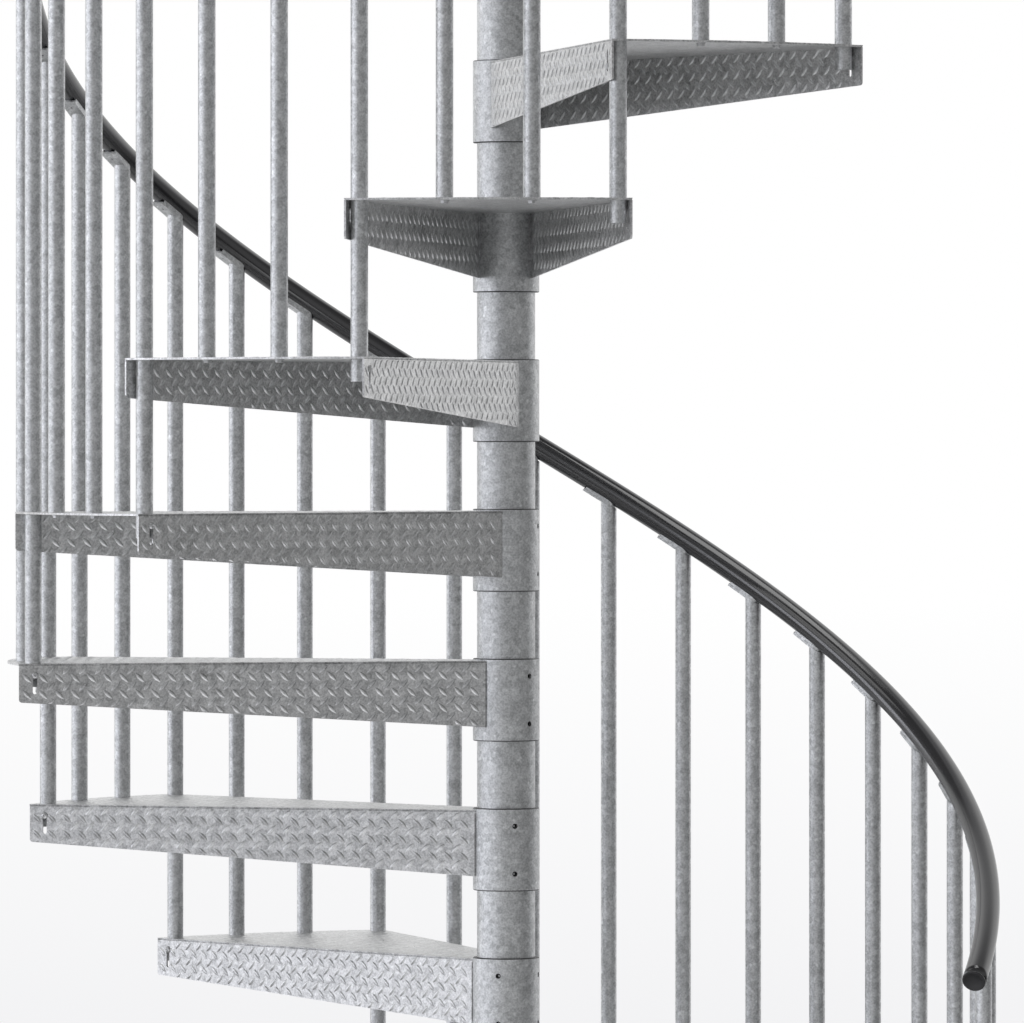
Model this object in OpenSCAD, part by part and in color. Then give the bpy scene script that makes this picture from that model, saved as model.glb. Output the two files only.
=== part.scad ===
// Galvanised steel spiral stair with a round helical handrail.
// Millimetres, +Z up. The origin is on the column axis, at the underside of the base plate.
// The stair climbs counterclockwise as seen from above.

/* [Stair] */
// Radius of the tread ends, from the column axis
stair_r = 762; // [660:1:914]
// Number of treads
tread_count = 12; // [6:1:14]
// Rise from one tread to the next
riser_h = 228.6; // [203:0.1:241]
// Turn from one tread to the next, in degrees
tread_turn = 29.387; // [27:0.001:31]
// Direction of the lowest baluster, in degrees from the X axis
start_angle = -11.16; // [-180:0.01:180]
// Free space between round or sliding faces that fit together
fit_gap = 0.3; // [0.1:0.05:0.5]

/* [Base] */
// Width of the square base plate
base_w = 304.8; // [250:1:400]
// Thickness of the base plate
base_t = 9.5; // [6:0.5:16]
// Radius of the base plate's corners
base_corner_r = 20; // [5:1:30]
// Diameter of the four anchor holes
anchor_d = 14; // [10:0.5:18]
// Distance between neighbouring anchor holes
anchor_pitch = 228.6; // [180:1:230]
// Height of the collar that holds the foot of the column
collar_h = 63.5; // [40:0.5:80]
// Wall of the collar
collar_wall = 6; // [4:0.5:10]

/* [Column] */
// Outside diameter of the column
column_d = 88.9; // [76:0.1:95]
// Wall of the column tube
column_wall = 5.5; // [3:0.1:8]
// Length of the column
column_h = 3657.6; // [3400:0.1:4200]
// Thickness of the cap's disc
cap_t = 6; // [4:0.5:10]
// Radius round the cap's upper edge
cap_edge_r = 3; // [1:0.5:3.5]
// Length of the cap's plug inside the column
cap_plug_h = 18; // [10:1:40]
// Wall of the cap's plug
cap_plug_wall = 4; // [2:0.5:8]

/* [Hubs] */
// Wall of the sleeve that carries each tread
hub_wall = 6.05; // [4:0.05:10]
// Length of the sleeve below the top of its tread
hub_below = 123; // [110:0.5:130]
// Length of the sleeve above the top of its tread
hub_above = 3; // [0.5:0.5:6]
// Width of the bevel round both ends of the sleeve
hub_bevel = 1.2; // [0.5:0.1:2]
// Diameter of the set screw holes
set_screw_d = 8; // [4:0.5:10]
// Angle from the tread's direction to the set screws, in degrees
set_screw_angle = 135; // [120:1:150]
// Distance from either end of the sleeve to the nearest set screws
set_screw_inset = 26.5; // [15:0.5:35]

/* [Treads] */
// Thickness of the tread's sheet
sheet_t = 3; // [2:0.1:4]
// Half the width of the tread where it meets its hub
root_half_w = 42; // [34:0.5:44]
// Depth of the side flanges at the hub
flange_root_h = 101.6; // [80:0.1:110]
// Depth of the side flanges at the outer end
flange_end_h = 58.8; // [54:0.1:75]
// Distance that the flanges stop short of the tread's curved end
flange_setback = 0.5; // [0.5:0.5:5]
// Radius of the edge along the top of each flange
edge_r = 0.5; // [0.3:0.1:0.6]
// Depth of the seam's upper end below the top of the tread
seam_top = 0.9; // [0.7:0.1:1.5]
// Height of the seam
seam_h = 2.4; // [1.5:0.1:2.6]
// Depth of the seam
seam_depth = 1.2; // [0.5:0.1:1.5]
// Depth of the upper end of the joint groove, which runs down each flange beside the hub
joint_top = 4.5; // [4.3:0.1:6]
// Width of the joint groove
joint_w = 3; // [2:0.1:4]
// Depth of the joint groove
joint_depth = 2; // [1:0.1:2.2]
// Radius of the flanges' lower outer corners
flange_corner_r = 5; // [2:0.5:8]
// Width of the bolt slot in each flange
slot_w = 6.8; // [5:0.1:10]
// Depth of the slot's upper end below the top of the tread
slot_top = 14; // [8:0.5:18]
// Depth of the slot's lower end below the top of the tread
slot_bottom = 46; // [36:0.5:49]
// Diameter of the holes for the bolts of the inner balusters
foot_bolt_d = 8; // [6:0.5:12]

/* [Balusters] */
// Outside diameter of the baluster tubes
baluster_d = 25.4; // [19:0.1:32]
// Wall of the baluster tubes
baluster_wall = 1.6; // [1.2:0.1:3]
// Distance from the tread's curved end to the baluster axes
baluster_inset = 25.4; // [20:0.1:36]
// Balusters on each tread
balusters_per_tread = 3; // [2:1:4]
// Length of each corner baluster below the top of the lower tread that it joins
baluster_tail = 36; // [30:1:50]
// Height of the bolt notch in that lower end
tail_notch_h = 24; // [15:0.5:26]
// Width of the tab on which the handrail lies
tab_w = 25; // [18:0.5:30]
// Thickness of the tab
tab_t = 3.5; // [2:0.5:6]
// Length of the tab uphill of its tube
tab_reach = 33; // [20:1:45]
// Radius of the tab's uphill corners
tab_corner_r = 2.5; // [1:0.5:8]
// Diameter of the screw hole in the tab
tab_hole_d = 6; // [4:0.5:8]

/* [Handrail] */
// Diameter of the handrail
rail_d = 36; // [32:0.5:45]
// Height of the handrail's centre over a tread, at the tread's front corner
rail_h = 942; // [864:1:1000]
// Length of the handrail past the first and last balusters, in plan
rail_run_on = 76; // [35:1:90]
// Thickness of the end caps
rail_cap_t = 4; // [3:0.5:10]
// Width of the bevel round the end caps
rail_cap_bevel = 1.5; // [0.5:0.5:2.5]

/* [Hidden] */
// Colour of the galvanised steel
steel_colour = [0.66, 0.67, 0.68];
// Colour of the handrail and its caps
rail_colour = [0.05, 0.05, 0.055];
// Length by which a cutting solid passes the face that it cuts
over = 1;
// Facets of the round solids
$fn = 96;

// Outside diameter of the hubs
hub_d = column_d + 2 * fit_gap + 2 * hub_wall;
// Diameter of the hole through the hubs and the collar
hub_bore_d = column_d + 2 * fit_gap;
// Radius of the circle on which the balusters stand
baluster_r = stair_r - baluster_inset;
// Turn from one baluster to the next
baluster_turn = tread_turn / balusters_per_tread;
// Number of the uppermost baluster, where the lowest is 0
last_baluster = tread_count * balusters_per_tread;

// Diameter of the hole that a corner baluster passes through
baluster_hole_d = baluster_d + 2 * fit_gap;
// Corner baluster in the frame of a tread that points along X
corner_x = baluster_r * cos(tread_turn / 2);
corner_y = baluster_r * sin(tread_turn / 2);
// Point where the flange's outer face meets the hub
root_x = sqrt(pow(hub_d / 2, 2) - pow(root_half_w, 2));
// Distance from the baluster's axis to the flange's outer face, with the tube against the inner face
flange_off = baluster_d / 2 + fit_gap + sheet_t;
// Distance from the flange's root to the baluster's axis
root_to_corner = norm([corner_x - root_x, corner_y - root_half_w]);
// Direction of the flange in plan
flange_angle = atan2(corner_y - root_half_w, corner_x - root_x) + asin(flange_off / root_to_corner);
// Distance of the baluster along the flange
flange_slot_u = sqrt(pow(root_to_corner, 2) - pow(flange_off, 2));
// Distance along the flange to the point nearest the column axis, measured back from the root
root_along = root_x * cos(flange_angle) + root_half_w * sin(flange_angle);
// Length of the flange from its root to its outer end
flange_len = sqrt(pow(root_along, 2) - pow(hub_d / 2, 2) + pow(stair_r - flange_setback, 2)) - root_along;

// Slope of the handrail
rail_slope = atan(riser_h / (tread_turn * PI / 180 * baluster_r));
// Sides of the handrail's section, a multiple of four so that a flat lies on the tabs
rail_sides = 20;
// Plan angle between sections of the handrail
rail_step = 3;
// Distance from the handrail's centre line to the upper face of a tab
rail_seat = rail_d / 2 * cos(180 / rail_sides) + fit_gap;
// Plan angle of the handrail past the first and last balusters
rail_run_on_angle = rail_run_on / baluster_r * 180 / PI;
// Plan directions of the handrail's two ends
rail_start = start_angle - rail_run_on_angle;
rail_end = baluster_angle(last_baluster) + rail_run_on_angle;
// Number of lengths that the handrail is swept in
rail_lengths = ceil((rail_end - rail_start) / rail_step);

function two_digits(n) = n < 10 ? str("0", n) : str(n);
function tread_angle(k) = start_angle + (k - 0.5) * tread_turn;
function baluster_angle(i) = start_angle + i * baluster_turn;
// Height of the handrail's centre line at a plan direction
function rail_z(angle) = riser_h + rail_h + (angle - start_angle) / tread_turn * riser_h;

module tube(outer_d, inner_d, length) {
    difference() {
        cylinder(d = outer_d, h = length);
        translate([0, 0, -over]) cylinder(d = inner_d, h = length + 2 * over);
    }
}

// A square plate with round corners, made of two bars and four discs
module rounded_plate(width, thickness, corner_r) {
    straight = width - 2 * corner_r;
    union() {
        translate([-width / 2, -straight / 2, 0]) cube([width, straight, thickness]);
        translate([-straight / 2, -width / 2, 0]) cube([straight, width, thickness]);
        for (x = [-1, 1], y = [-1, 1])
            translate([x * straight / 2, y * straight / 2, 0]) cylinder(r = corner_r, h = thickness);
    }
}

module base_plate() {
    color(steel_colour)
    difference() {
        rounded_plate(base_w, base_t, base_corner_r);
        for (x = [-1, 1], y = [-1, 1])
            translate([x * anchor_pitch / 2, y * anchor_pitch / 2, -over])
                cylinder(d = anchor_d, h = base_t + 2 * over);
    }
}

module base_collar() {
    color(steel_colour)
    translate([0, 0, base_t]) tube(hub_bore_d + 2 * collar_wall, hub_bore_d, collar_h);
}

module center_column() {
    color(steel_colour)
    translate([0, 0, base_t]) tube(column_d, column_d - 2 * column_wall, column_h);
}

// A turned disc with a rounded edge, and a plug that fits inside the column
module column_cap() {
    plug_r = column_d / 2 - column_wall - fit_gap;
    edge_x = column_d / 2 - cap_edge_r;
    edge_z = cap_t - cap_edge_r;
    color(steel_colour)
    translate([0, 0, base_t + column_h])
    rotate_extrude() {
        square([column_d / 2, edge_z]);
        square([edge_x, cap_t]);
        translate([edge_x, edge_z]) circle(r = cap_edge_r);
        translate([plug_r - cap_plug_wall, -cap_plug_h]) square([cap_plug_wall, cap_plug_h]);
    }
}

// Sleeve of one tread, bevelled at its ends, with two set screws on each side of its back
module hub(k) {
    length = hub_below + hub_above;
    end_r = hub_d / 2 - hub_bevel;
    color(steel_colour)
    translate([0, 0, k * riser_h - hub_below])
    rotate([0, 0, tread_angle(k)])
    difference() {
        rotate_extrude()
        polygon([
            [hub_bore_d / 2, 0], [end_r, 0], [hub_d / 2, hub_bevel],
            [hub_d / 2, length - hub_bevel], [end_r, length], [hub_bore_d / 2, length]
        ]);
        for (side = [-1, 1], z = [set_screw_inset, length - set_screw_inset])
            translate([0, 0, z])
            rotate([0, 90, side * set_screw_angle])
            cylinder(d = set_screw_d, h = hub_d);
    }
}

// Side view of one flange: tapered, with a round lower corner and a bolt slot.
// The first axis runs outwards along the flange and the second runs up.
module flange_profile() {
    root_u = -hub_d / 4;
    corner_u = flange_len - flange_corner_r;
    difference() {
        polygon([
            [root_u, 0],
            [root_u, -flange_root_h],
            [0, -flange_root_h],
            [corner_u, -flange_end_h],
            [flange_len, -flange_end_h],
            [flange_len, 0]
        ]);
        difference() {
            translate([corner_u, -flange_end_h - over]) square(flange_corner_r + over);
            translate([corner_u, -flange_end_h + flange_corner_r]) circle(r = flange_corner_r);
            translate([corner_u - over, -flange_end_h + flange_corner_r])
                square([flange_corner_r + 3 * over, over]);
        }
        translate([flange_slot_u, 0]) slot_outline();
    }
}

// Upright slot with round ends
module slot_outline() {
    upper = -slot_top - slot_w / 2;
    lower = -slot_bottom + slot_w / 2;
    translate([-slot_w / 2, lower]) square([slot_w, upper - lower]);
    for (v = [upper, lower])
        translate([0, v]) circle(d = slot_w);
}

// Places a solid that is drawn along X with its outer face on Y = 0 at one flange
module at_flange(side) {
    mirror([0, side < 0 ? 1 : 0, 0])
    translate([root_x, root_half_w, 0])
    rotate([0, 0, flange_angle])
    children();
}

// What rounds the square edge between the tread and a flange
module edge_cut() {
    length = flange_len + hub_d;
    translate([-hub_d / 2, 0, 0])
    difference() {
        translate([0, -edge_r, -edge_r]) cube([length, edge_r + over, edge_r + over]);
        translate([-over, -edge_r, -edge_r])
        rotate([0, 90, 0])
        cylinder(r = edge_r, h = length + 2 * over);
    }
}

// The V-shaped seam just under that edge, and the groove along the joint with the hub
module seam_cut() {
    length = flange_len + hub_d;
    translate([-hub_d / 2, 0, -seam_top])
    rotate([90, 0, 90])
    linear_extrude(length)
    polygon([[over, 0], [0, 0], [-seam_depth, -seam_h / 2], [0, -seam_h], [over, -seam_h]]);
    translate([0, -joint_depth, -flange_root_h - over])
        cube([joint_w, joint_depth + over, flange_root_h + over - joint_top]);
}

// One tread that points along X, with its top at Z = 0
module tread_pan() {
    reach = stair_r + over;
    far_x = root_x + reach * cos(flange_angle);
    far_y = root_half_w + reach * sin(flange_angle);
    difference() {
        union() {
            intersection() {
                translate([0, 0, -sheet_t]) cylinder(r = stair_r, h = sheet_t, $fn = 180);
                translate([0, 0, -sheet_t - over])
                linear_extrude(sheet_t + 2 * over)
                polygon([
                    [root_x, root_half_w], [0, root_half_w], [0, -root_half_w],
                    [root_x, -root_half_w], [far_x, -far_y], [far_x, far_y]
                ]);
            }
            for (side = [-1, 1])
                at_flange(side) rotate([90, 0, 0]) linear_extrude(sheet_t) flange_profile();
        }
        for (side = [-1, 1])
            at_flange(side) {
                edge_cut();
                seam_cut();
            }
        translate([0, 0, -flange_root_h - over])
            cylinder(d = hub_d + 2 * fit_gap, h = flange_root_h + 2 * over);
        baluster_holes();
    }
}

// Holes of the corner balusters and of the bolts under the inner ones
module baluster_holes() {
    for (i = [0 : balusters_per_tread]) {
        hole_d = i == 0 || i == balusters_per_tread ? baluster_hole_d : foot_bolt_d;
        rotate([0, 0, i * baluster_turn - tread_turn / 2])
        translate([baluster_r, 0, -sheet_t - over])
        cylinder(d = hole_d, h = sheet_t + 2 * over);
    }
}

module tread(k) {
    color(steel_colour)
    translate([0, 0, k * riser_h])
    rotate([0, 0, tread_angle(k)])
    tread_pan();
}

// Tab in the plane of the handrail's slope, seen from above, with uphill along Y
module tab_outline() {
    top = baluster_d / 2 + tab_reach;
    straight = tab_w - 2 * tab_corner_r;
    difference() {
        union() {
            translate([-tab_w / 2, 0]) square([tab_w, top - tab_corner_r]);
            translate([-straight / 2, 0]) square([straight, top]);
            for (x = [-1, 1])
                translate([x * straight / 2, top - tab_corner_r]) circle(r = tab_corner_r);
            circle(d = tab_w);
        }
        translate([0, baluster_d / 2 + tab_reach / 2]) circle(d = tab_hole_d);
    }
}

// One tube from a foot height up to the handrail, with its sloping tab.
// A notched one is open towards the flange at its foot, where the bolt goes in.
module baluster(i, foot_z, notched) {
    angle = baluster_angle(i);
    // Height where the tab's upper face crosses the tube's axis
    seat_z = rail_z(angle) - rail_seat / cos(rail_slope);
    // Length of tube that is surely above the cut
    spare = baluster_d;
    rotate([0, 0, angle])
    translate([baluster_r, 0, 0])
    union() {
        difference() {
            translate([0, 0, foot_z])
                tube(baluster_d, baluster_d - 2 * baluster_wall, seat_z + spare - foot_z);
            translate([0, 0, seat_z])
            rotate([rail_slope, 0, 0])
            translate([-2 * spare, -2 * spare, -tab_t / 2])
            cube([4 * spare, 4 * spare, 4 * spare]);
            if (notched)
                rotate([0, 0, flange_angle - tread_turn / 2])
                translate([-slot_w / 2, 0, foot_z - over])
                cube([slot_w, baluster_d, tail_notch_h + over]);
        }
        translate([0, 0, seat_z])
        rotate([rail_slope, 0, 0])
        translate([0, 0, -tab_t])
        linear_extrude(tab_t)
        tab_outline();
    }
}

// Height of a corner baluster's foot: the lowest one stands on the floor
function corner_foot(lower_tread) = lower_tread == 0 ? 0 : lower_tread * riser_h - baluster_tail;

// The front corner baluster of a tread and those that stand on the tread
module balusters(k) {
    first = (k - 1) * balusters_per_tread;
    color(steel_colour) {
        baluster(first, corner_foot(k - 1), k > 1);
        for (i = [1 : balusters_per_tread - 1])
            baluster(first + i, k * riser_h, false);
    }
}

module top_baluster() {
    color(steel_colour)
    baluster(last_baluster, corner_foot(tread_count), true);
}

// A point of the handrail's section: turn goes round the section from the outer side
function rail_point(angle, turn) =
    let (
        outward = [cos(angle), sin(angle), 0],
        upward = [sin(angle) * sin(rail_slope), -cos(angle) * sin(rail_slope), cos(rail_slope)],
        centre = baluster_r * outward + [0, 0, rail_z(angle)]
    )
    centre + rail_d / 2 * (cos(turn) * outward + sin(turn) * upward);

// The round handrail, swept along its helix
module handrail() {
    points = [
        for (n = [0 : rail_lengths], s = [0 : rail_sides - 1])
            rail_point(rail_start + (rail_end - rail_start) * n / rail_lengths, (s + 0.5) * 360 / rail_sides)
    ];
    side_faces = [
        for (n = [0 : rail_lengths - 1], s = [0 : rail_sides - 1])
            let (a = n * rail_sides, b = a + rail_sides, t = (s + 1) % rail_sides)
            [a + s, a + t, b + t, b + s]
    ];
    first_face = [for (s = [rail_sides - 1 : -1 : 0]) s];
    last_face = [for (s = [0 : rail_sides - 1]) rail_lengths * rail_sides + s];
    color(rail_colour)
    polyhedron(points, concat(side_faces, [first_face, last_face]), convexity = 10);
}

// A bevelled disc on the end of the handrail, facing along or against the climb
module handrail_cap(angle, uphill) {
    rim_r = rail_d / 2 * cos(180 / rail_sides);
    color(rail_colour)
    rotate([0, 0, angle])
    translate([baluster_r, 0, rail_z(angle)])
    rotate([rail_slope + (uphill ? -90 : 90), 0, 0])
    rotate_extrude()
    polygon([
        [0, 0], [rim_r, 0], [rim_r, rail_cap_t - rail_cap_bevel],
        [rim_r - rail_cap_bevel, rail_cap_t], [0, rail_cap_t]
    ]);
}

base_plate();
base_collar();
center_column();
column_cap();
for (k = [1 : tread_count]) {
    tread(k);
    hub(k);
    balusters(k);
}
top_baluster();
handrail();
handrail_cap(rail_start, false);  // handrail_cap_bottom
handrail_cap(rail_end, true);  // handrail_cap_top
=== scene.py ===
# %% [markdown]
# # A galvanised spiral stair
# The stair is a steel column with folded sheet treads on sleeves, tubes as balusters and a black round
# handrail that climbs as a helix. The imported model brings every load-bearing piece at its real size.
# This lesson dresses it: raised lugs on the sheet, bolts and screws, a smooth handrail, zinc and vinyl
# finishes, studio light and the camera. New shapes are whole numpy arrays, because a stair repeats itself.

import bpy
import numpy as np
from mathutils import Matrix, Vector


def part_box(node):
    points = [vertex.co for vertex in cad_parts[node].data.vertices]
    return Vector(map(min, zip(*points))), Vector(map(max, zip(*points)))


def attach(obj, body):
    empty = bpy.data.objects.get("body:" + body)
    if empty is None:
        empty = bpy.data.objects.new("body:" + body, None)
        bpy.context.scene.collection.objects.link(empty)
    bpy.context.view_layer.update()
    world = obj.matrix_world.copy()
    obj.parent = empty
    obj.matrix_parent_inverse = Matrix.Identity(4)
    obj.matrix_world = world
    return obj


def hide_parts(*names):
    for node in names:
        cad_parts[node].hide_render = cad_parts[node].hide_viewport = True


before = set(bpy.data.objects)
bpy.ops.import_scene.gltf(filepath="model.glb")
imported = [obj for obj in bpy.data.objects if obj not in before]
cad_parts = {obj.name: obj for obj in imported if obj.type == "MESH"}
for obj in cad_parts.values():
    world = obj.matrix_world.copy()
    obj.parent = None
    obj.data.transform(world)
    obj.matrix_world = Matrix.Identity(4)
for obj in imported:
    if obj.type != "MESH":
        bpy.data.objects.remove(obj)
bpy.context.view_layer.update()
print("nodes in the frame:", len(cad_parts))

# %% [markdown]
# ## The sizes that drive everything
# A stair is one rule repeated: each tread is one rise higher and one turn further than the last. The
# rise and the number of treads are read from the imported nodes, and the other real sizes are written once,
# in metres. Later places follow from them, so a changed size carries through.

# %% Sizes of the stair
TREAD_COUNT = sum(name.startswith("tread_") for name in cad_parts)
PER_TREAD = 3
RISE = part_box("hub_02")[0].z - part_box("hub_01")[0].z
TURN = np.radians(29.387)
FIRST_ANGLE = np.radians(-11.16)
STAIR_R = 0.762
BALUSTER_D = 0.0254
BALUSTER_INSET = 0.0254
BALUSTER_R = STAIR_R - BALUSTER_INSET
HUB_D = 0.1016
HUB_BELOW = 0.123
HUB_ABOVE = 0.003
HUB_BEVEL = 0.0012
SHEET = 0.003
FIT = 0.0003
SLOPE = np.arctan(RISE / (TURN * BALUSTER_R))


def tread_angle(k):
    """Plan direction of tread k: half a turn past its front corner."""
    return FIRST_ANGLE + (k - 0.5) * TURN


def baluster_angle(i):
    """Plan direction of baluster i, which is a third of a turn after the one before."""
    return FIRST_ANGLE + i * TURN / PER_TREAD


print(f"{TREAD_COUNT} treads, rise {RISE * 1000:.1f} mm, slope {np.degrees(SLOPE):.1f} degrees")

# %% [markdown]
# ## Small tools for arrays
# A surface is a grid of points, so its faces are pairs of neighbouring rows and columns. A turned piece,
# such as a bolt head, is a profile carried round an axis. A repeated piece is one small mesh whose points
# are multiplied by many frames at once. A few helpers for this serve every piece below. Modifiers could do
# the same, but arrays show the formula of each shape.

# %% Grid and lathe


def grid_quads(rows, columns, closed=False):
    """Corner numbers of each cell of a grid: a cell joins a point to the next row and the next column.
    A closed grid also joins its last column to its first."""
    row, column = np.meshgrid(
        np.arange(rows - 1), np.arange(columns if closed else columns - 1), indexing="ij"
    )
    following = (column + 1) % columns
    corners = [(row, column), (row, following), (row + 1, following), (row + 1, column)]
    return np.stack([r * columns + c for r, c in corners], -1).reshape(-1, 4)


def lathe(profile, segments):
    """A profile of (radius, height) points turned round Z: each ring is the radius times the cosine and
    sine of equal angles. The profile runs from the outer foot up and in, and a cap closes its last ring."""
    profile = np.asarray(profile, float)
    angle = np.arange(segments) * 2 * np.pi / segments
    ring = np.stack([np.cos(angle), np.sin(angle)], -1)
    points = np.empty((len(profile), segments, 3))
    points[..., :2] = profile[:, None, :1] * ring
    points[..., 2] = profile[:, 1:]
    quads = grid_quads(len(profile), segments, closed=True)
    centre = np.array([[0, 0, profile[-1, 1]]])
    last = (len(profile) - 1) * segments
    around = np.arange(segments)
    fan = np.stack([last + around, last + (around + 1) % segments, np.full(segments, last + segments)], -1)
    return np.vstack([points.reshape(-1, 3), centre]), [quads, fan]


print("faces of a grid of 3 by 4 points:", len(grid_quads(3, 4)))

# %% Repeat and join


def repeat(points, faces, axes, origins):
    """Copies of one small mesh: each point becomes origin + x * first axis + y * second + z * third,
    for all frames at once, and the corner numbers move on by one mesh for each copy."""
    placed = np.einsum("pi,nij->npj", points, axes) + origins[:, None, :]
    step = np.arange(len(origins))[:, None, None] * len(points)
    return placed.reshape(-1, 3), [(f[None] + step).reshape(-1, f.shape[1]) for f in faces]


def join(parts):
    """One mesh from several: corner numbers move on by the points that come before."""
    starts = np.cumsum([0] + [len(points) for points, _ in parts[:-1]])
    faces = [f + start for (_, group), start in zip(parts, starts) for f in group]
    return np.vstack([points for points, _ in parts]), faces


# %% Mesh from arrays


def new_piece(name, points, faces, material, slot, smooth=True):
    """A mesh object from arrays of points and of corner numbers, fixed to the stair."""
    mesh = bpy.data.meshes.new(name)
    sizes = np.concatenate([np.full(len(f), f.shape[1]) for f in faces])
    corners = np.concatenate([f.ravel() for f in faces])
    mesh.vertices.add(len(points))
    mesh.vertices.foreach_set("co", np.ascontiguousarray(points, np.float32).ravel())
    mesh.loops.add(len(corners))
    mesh.loops.foreach_set("vertex_index", corners.astype(np.int32))
    mesh.polygons.add(len(sizes))
    mesh.polygons.foreach_set("loop_start", (np.cumsum(sizes) - sizes).astype(np.int32))
    mesh.polygons.foreach_set("use_smooth", np.full(len(sizes), smooth))
    mesh.update(calc_edges=True)
    mesh.validate()
    mesh.materials.append(material)
    piece = bpy.data.objects.new(name, mesh)
    bpy.context.scene.collection.objects.link(piece)
    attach(piece, "root")
    print(f"{name}: {len(points)} points, {int((sizes - 2).sum())} triangles")
    return piece


# %% [markdown]
# ## The zinc finish
# Hot-dip zinc freezes into patches of slightly different grey, with small pale specks where the bath
# left a bright crystal. Sheet, tubes and bolts all share it, so the effect is one node group with a few
# inputs. It puts out a tone, a roughness and a height, and each material turns the tone into its greys.

# %% Node helpers


def socket(group, name, kind, way, value=None):
    """Adds one input or output to a node group."""
    made = group.interface.new_socket(name=name, in_out=way, socket_type=kind)
    if value is not None:
        made.default_value = value
    return made


def add_node(tree, kind, **settings):
    """Adds a node and sets its own properties."""
    node = tree.nodes.new(kind)
    for key, value in settings.items():
        setattr(node, key, value)
    return node


def math_node(tree, operation, first, second):
    """A math node fed by sockets or plain numbers. Its result is returned."""
    node = add_node(tree, "ShaderNodeMath", operation=operation)
    for place, value in enumerate((first, second)):
        if isinstance(value, bpy.types.NodeSocket):
            tree.links.new(value, node.inputs[place])
        else:
            node.inputs[place].default_value = value
    return node.outputs[0]


def remap(tree, value, low, high, to_low, to_high):
    """Maps a value from one range to another and clamps it."""
    node = add_node(tree, "ShaderNodeMapRange")
    tree.links.new(value, node.inputs["Value"])
    for name, number in (("From Min", low), ("From Max", high), ("To Min", to_low), ("To Max", to_high)):
        node.inputs[name].default_value = number
    return node.outputs["Result"]


def noise(tree, vector, scale, detail):
    """A noise texture's value."""
    node = add_node(tree, "ShaderNodeTexNoise")
    tree.links.new(vector, node.inputs["Vector"])
    node.inputs["Scale"].default_value = scale
    node.inputs["Detail"].default_value = detail
    return node.outputs["Fac"]


def color_mix(tree, factor, first, second):
    """A mix of two plain colours by a factor. Its result is returned."""
    node = add_node(tree, "ShaderNodeMix", data_type="RGBA")
    node.inputs["A"].default_value = (*first, 1)
    node.inputs["B"].default_value = (*second, 1)
    tree.links.new(factor, node.inputs["Factor"])
    return node.outputs["Result"]


# %% Node group for zinc
PATCH_SCALE = 130
PATCH_SMOOTHNESS = 0.4
CLOUD_SCALE = 46
GRAIN_SCALE = 340
SPECK_SCALE = 105
CLOUD_RANGE = (0.3, 0.7)
GRAIN_RANGE = (0.36, 0.64)
SPECK_SIZE = (0.12, 0.36)
SPECK_CHOICE = (0.5, 0.95)
PATCH_SHARE = 0.36
CLOUD_SHARE = 0.22
GRAIN_SHARE = 0.38
SPECK_HEIGHT = 0.6
ZINC_UNEVEN = 0.07


def zinc_group():
    """Tone = spangle patches + broad clouds + fine grain + sparse pale specks, about 0.5 on average."""
    group = bpy.data.node_groups.new("zinc_spangle", "ShaderNodeTree")
    socket(group, "Vector", "NodeSocketVector", "INPUT")
    socket(group, "Speck Amount", "NodeSocketFloat", "INPUT", 0.5)
    socket(group, "Mean Roughness", "NodeSocketFloat", "INPUT", 0.45)
    socket(group, "Tone", "NodeSocketFloat", "OUTPUT")
    socket(group, "Roughness", "NodeSocketFloat", "OUTPUT")
    socket(group, "Height", "NodeSocketFloat", "OUTPUT")
    source = add_node(group, "NodeGroupInput")
    result = add_node(group, "NodeGroupOutput")
    vector = source.outputs["Vector"]

    patches = add_node(group, "ShaderNodeTexVoronoi", feature="SMOOTH_F1")
    patches.inputs["Scale"].default_value = PATCH_SCALE
    patches.inputs["Smoothness"].default_value = PATCH_SMOOTHNESS
    group.links.new(vector, patches.inputs["Vector"])
    patch_tone = add_node(group, "ShaderNodeSeparateColor")
    group.links.new(patches.outputs["Color"], patch_tone.inputs["Color"])
    clouds = noise(group, vector, CLOUD_SCALE, 4)
    grain = noise(group, vector, GRAIN_SCALE, 3)

    specks = add_node(group, "ShaderNodeTexVoronoi", feature="F1")
    specks.inputs["Scale"].default_value = SPECK_SCALE
    group.links.new(vector, specks.inputs["Vector"])
    speck_pick = add_node(group, "ShaderNodeSeparateColor")
    group.links.new(specks.outputs["Color"], speck_pick.inputs["Color"])
    speck_dot = remap(group, specks.outputs["Distance"], *SPECK_SIZE, 1, 0)
    speck_kept = remap(group, speck_pick.outputs["Green"], *SPECK_CHOICE, 0, 1)
    speck = math_node(group, "MULTIPLY", speck_dot, speck_kept)
    speck = math_node(group, "MULTIPLY", speck, source.outputs["Speck Amount"])

    tone = math_node(group, "MULTIPLY", patch_tone.outputs["Red"], PATCH_SHARE)
    tone = math_node(group, "ADD", tone, remap(group, clouds, *CLOUD_RANGE, 0, CLOUD_SHARE))
    tone = math_node(group, "ADD", tone, remap(group, grain, *GRAIN_RANGE, 0, GRAIN_SHARE))
    tone = math_node(group, "ADD", tone, speck)
    group.links.new(tone, result.inputs["Tone"])
    uneven = remap(group, clouds, *CLOUD_RANGE, -ZINC_UNEVEN, ZINC_UNEVEN)
    uneven = math_node(group, "ADD", uneven, source.outputs["Mean Roughness"])
    group.links.new(uneven, result.inputs["Roughness"])
    height = math_node(group, "ADD", grain, math_node(group, "MULTIPLY", speck, SPECK_HEIGHT))
    group.links.new(height, result.inputs["Height"])
    return group


ZINC = zinc_group()
print("zinc group nodes:", len(ZINC.nodes))

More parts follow.
